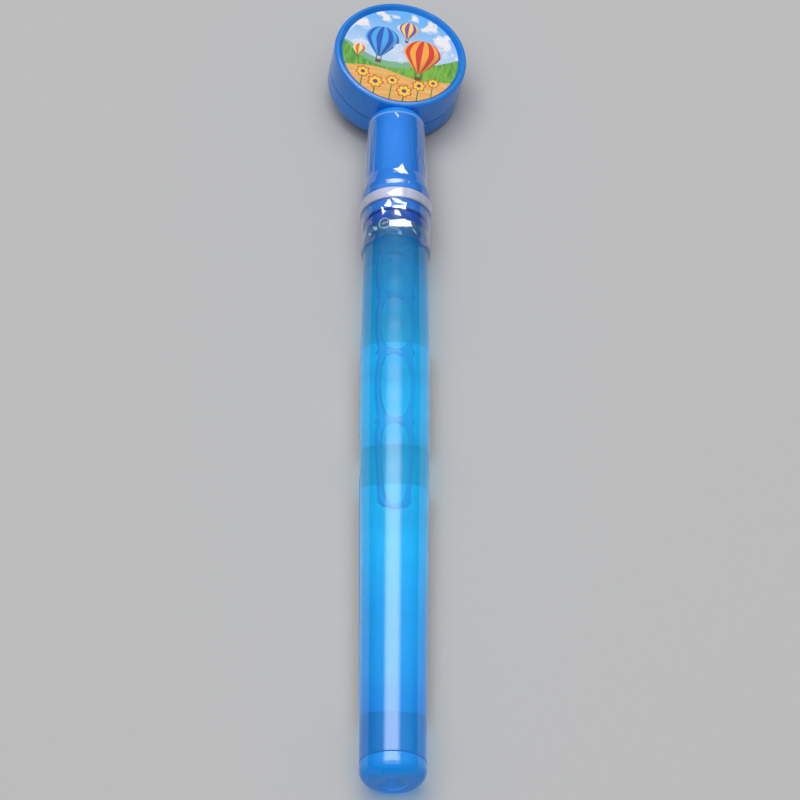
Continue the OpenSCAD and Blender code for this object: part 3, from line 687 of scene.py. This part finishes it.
# painted highlight along the upper edge, where it is pulled over the shoulder: mm down, and degrees to each
# side
filmHemHighlight = {"depth": 1.0, "half": 62.0}
# crumples of two sizes
filmCrumples = {"coarse": {"pitch": 6.5, "stretch": 0.8, "sharp": 1.9, "share": 0.75, "shift": 0},
                "fine": {"pitch": 2.6, "stretch": 0.6, "sharp": 2.2, "share": 0.25, "shift": 40}}
filmFlutes = {"across": 0.42, "along": 0.035, "shift": 11, "gain": 2.0}


def insideOutline(x, z, corners):
    inside = False
    for (x0, z0), (x1, z1) in zip(corners, corners[1:] + corners[:1]):
        if (z0 > z) != (z1 > z) and x < x0 + (z - z0) * (x1 - x0) / (z1 - z0):
            inside = not inside
    return inside


def foldLift(x, z, radius):  # how far the film stands out, and its finish
    turn = math.degrees(math.asin(x / radius))
    for lean, pleat, flat, corners in filmFolds:
        if insideOutline(x, z, corners):
            turns = [math.degrees(math.asin(c[0] / radius)) for c in corners]
            middle = within((min(turns) + max(turns)) / 2, *foldFacing)
            nearest = within(middle, min(turns), max(turns))
            out = 1 / math.cos(math.radians(turn - middle)) - 1 / math.cos(math.radians(nearest - middle))
            rise = (z - min(c[1] for c in corners)) % pleat
            return math.tan(math.radians(lean)) * rise + flat * radius * out, foldedSlot
    pucker = filmPucker
    far = math.hypot(x - pucker["across"], (z - pucker["along"]) * pucker["squash"])
    if pucker["inner"] < far < pucker["outer"]:
        share = (far - pucker["inner"]) / (pucker["outer"] - pucker["inner"])
        # painted highlight on the gathered ring
        return pucker["height"] * math.sin(math.pi * share), paintedGlintSlot
    # painted highlights on flat patches of film
    if any(insideOutline(x, z, corners) for corners in filmPaintedGlints):
        return paintedGlintLift, paintedGlintSlot
    # painted highlight along the upper edge
    inPaintedHem = z > filmShape["high"] - filmHemHighlight["depth"] and abs(turn) < filmHemHighlight["half"]
    return 0.0, hemHighlightSlot if inPaintedHem else clearSlot


def crumple(x, y, z):  # sharp creases between flat facets, 0 to 1
    total = 0.0
    for size in filmCrumples.values():
        wave = noise.noise(Vector((x + size["shift"], y, z * size["stretch"])) / size["pitch"])
        total += max(0.0, 1 - size["sharp"] * abs(wave)) * size["share"]
    return total


def flute(x, y, z):  # shallow waves that run along the film
    wave = noise.noise(Vector((x * filmFlutes["across"], y * filmFlutes["across"],
                               z * filmFlutes["along"] + filmFlutes["shift"])))
    return abs(wave) * filmFlutes["gain"]


def makeShrinkFilm():
    points, faces, finishes = [], [], []
    rings, steps, roll = filmShape["rings"], filmShape["steps"], math.radians(lie["roll"])
    for i in range(rings):
        for j in range(steps):
            angle = 2 * math.pi * j / steps  # from the top of the lying wand
            ragged = noise.noise(Vector((math.cos(angle), math.sin(angle), 7)) * filmShape["raggedPitch"])
            edge = filmShape["low"] + filmShape["ragged"] * ragged
            z = edge + (filmShape["high"] - edge) * i / (rings - 1)
            radius = alongPoints(z, filmProfile)
            x, y = math.sin(angle) * radius, -math.cos(angle) * radius
            lift, finish = foldLift(x, z, radius) if y < 0 else (0.0, clearSlot)
            if finish == clearSlot:
                lift = (alongPoints(z, filmRoom) * crumple(x, y, z)
                        + alongPoints(z, fluteDepth) * flute(x, y, z) * abs(math.sin(angle)))
            radius = min(radius + lift, filmShape["limit"])
            points.append(rowPoint(math.sin(angle - roll) * radius, -math.cos(angle - roll) * radius, z))
            finishes.append(finish)
    for i in range(rings - 1):
        for j in range(steps):
            k = (j + 1) % steps
            faces.append((i * steps + j, i * steps + k, (i + 1) * steps + k, (i + 1) * steps + j))
    data = bpy.data.meshes.new("film_wrap")
    data.from_pydata(points, [], faces)
    slots = [min(finishes[v] for v in face) for face in faces]
    data.polygons.foreach_set("use_smooth", [slot != foldedSlot for slot in slots])
    for name, look in filmFinishes.items():
        data.materials.append(makeClearFilm(name, look))
    data.polygons.foreach_set("material_index", slots)
    film = bpy.data.objects.new("film_wrap", data)
    bpy.context.scene.collection.objects.link(film)
    return film


def makeClearFilm(name, look):  # see-through from straight on and bright where it is seen along its surface
    material, tree, output, place = newMaterial(name)
    grazing = addNode(tree, "Fresnel", {"IOR": filmLook["ior"]}).outputs[0]
    grain = softNoise(tree, place, filmLook["grain"], filmLook["detail"])
    haze = ramp(tree, grain, *filmLook["hazy"], look["milky"], look["milky"] + filmLook["haze"])
    shine = chain(tree, grazing, ("MULTIPLY", filmLook["edge"]), ("ADD", haze), ("MINIMUM", look["most"]))
    shader = addNode(tree, "BsdfPrincipled", {"Base Color": opaque(filmLook["colour"]), "Alpha": shine,
                                              "Metallic": look["metallic"], "Roughness": look["roughness"],
                                              "Normal": bumpFrom(tree, grain, filmLook["skin"])})
    tree.links.new(shader.outputs[0], output.inputs[0])
    return material


film = makeShrinkFilm()
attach(film, "wand")
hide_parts("shrink_film")
print("shrink film made")

# floor, light and camera

floorLook = {"colour": (0.485, 0.485, 0.485), "grain": 300.0, "detail": 4.0, "contrast": 0.015,
             "roughness": 0.85, "specular": 0.1, "size": 8.0}
# light from all round, brighter higher up
worldLook = {"colour": (1.0, 1.01, 1.05), "upward": (0.15, 0.8), "levels": (0.115, 0.355)}
softboxes = {  # extents in m, the shares of them over which the light fades in and out, and its level
    "softbox": {"x": (-3.68, 2.86), "y": (0.0, 4.05), "height": 5.0, "fadeX": (0.3, 0.3),
                "fadeY": (0.12, 0.51), "level": 4.2},
    "frontbox": {"x": (-3.3, 2.9), "y": (-3.8, 0.3), "height": 4.5, "fadeX": (0.2, 0.2),
                 "fadeY": (0.2, 0.1), "level": 1.52}}
cameraLook = {"lens": 112.5, "sensor": 36, "clip": (0.01, 20), "place": (0.0040, -0.5721, 0.8544),
              "turn": (33.461, 0, 0.199)}
clearLayers = 24  # how many see-through faces a ray may pass


def putIn(name, data, place=(0, 0, 0)):
    thing = bpy.data.objects.new(name, data)
    thing.location = place
    bpy.context.scene.collection.objects.link(thing)
    return thing


def makeFloor():
    material, tree, output, place = newMaterial("paperSheet")
    grain = softNoise(tree, place, floorLook["grain"], floorLook["detail"])
    tone = blendColour(tree, grain, scaled(floorLook["colour"], 1 - floorLook["contrast"]),
                       scaled(floorLook["colour"], 1 + floorLook["contrast"]))
    shader = addNode(tree, "BsdfPrincipled", {"Base Color": tone, "Roughness": floorLook["roughness"],
                                              "Specular IOR Level": floorLook["specular"]})
    tree.links.new(shader.outputs[0], output.inputs[0])
    half = floorLook["size"] / 2
    data = bpy.data.meshes.new("floor")
    corners = [(-half, -half, 0), (half, -half, 0), (half, half, 0), (-half, half, 0)]
    data.from_pydata(corners, [], [(0, 1, 2, 3)])
    data.materials.append(material)
    putIn("floor", data, (0, 0, -0.0002))


def makeSoftbox(name, look):
    (x0, x1), (y0, y1) = look["x"], look["y"]
    data = bpy.data.lights.new(name, "AREA")
    data.shape = "RECTANGLE"
    data.size, data.size_y = x1 - x0, y1 - y0
    data.energy = look["level"] * math.pi * data.size * data.size_y
    data.use_nodes = True
    tree = data.node_tree
    place = addNode(tree, "SeparateXYZ", {0: addNode(tree, "NewGeometry").outputs["Parametric"]}).outputs
    fade = 1.0
    for axis, (low, high) in zip(place[:2], (look["fadeX"], look["fadeY"])):
        fade = calc(tree, "MULTIPLY", fade, ramp(tree, axis, 0.0, low))
        fade = calc(tree, "MULTIPLY", fade, ramp(tree, axis, 1.0, 1.0 - high))
    tree.links.new(fade, tree.nodes["Emission"].inputs["Strength"])
    putIn(name, data, ((x0 + x1) / 2, (y0 + y1) / 2, look["height"]))


def makeWorld():
    world = bpy.data.worlds.new("studio")
    world.use_nodes = True
    tree = world.node_tree
    back = tree.nodes["Background"]
    back.inputs["Color"].default_value = opaque(worldLook["colour"])
    upward = addNode(tree, "SeparateXYZ", {0: addNode(tree, "TexCoord").outputs["Generated"]}).outputs[2]
    tree.links.new(ramp(tree, upward, *worldLook["upward"], *worldLook["levels"]), back.inputs["Strength"])
    bpy.context.scene.world = world


def makeCamera():
    data = bpy.data.cameras.new("camera")
    data.lens, data.sensor_width = cameraLook["lens"], cameraLook["sensor"]
    data.clip_start, data.clip_end = cameraLook["clip"]
    camera = putIn("camera", data, cameraLook["place"])
    camera.rotation_euler = [math.radians(angle) for angle in cameraLook["turn"]]
    bpy.context.scene.camera = camera


makeFloor()
for name, look in softboxes.items():
    makeSoftbox(name, look)
makeWorld()
makeCamera()
bpy.context.scene.view_settings.view_transform = "Standard"
bpy.context.scene.cycles.transparent_max_bounces = clearLayers
print("floor, light and camera placed")
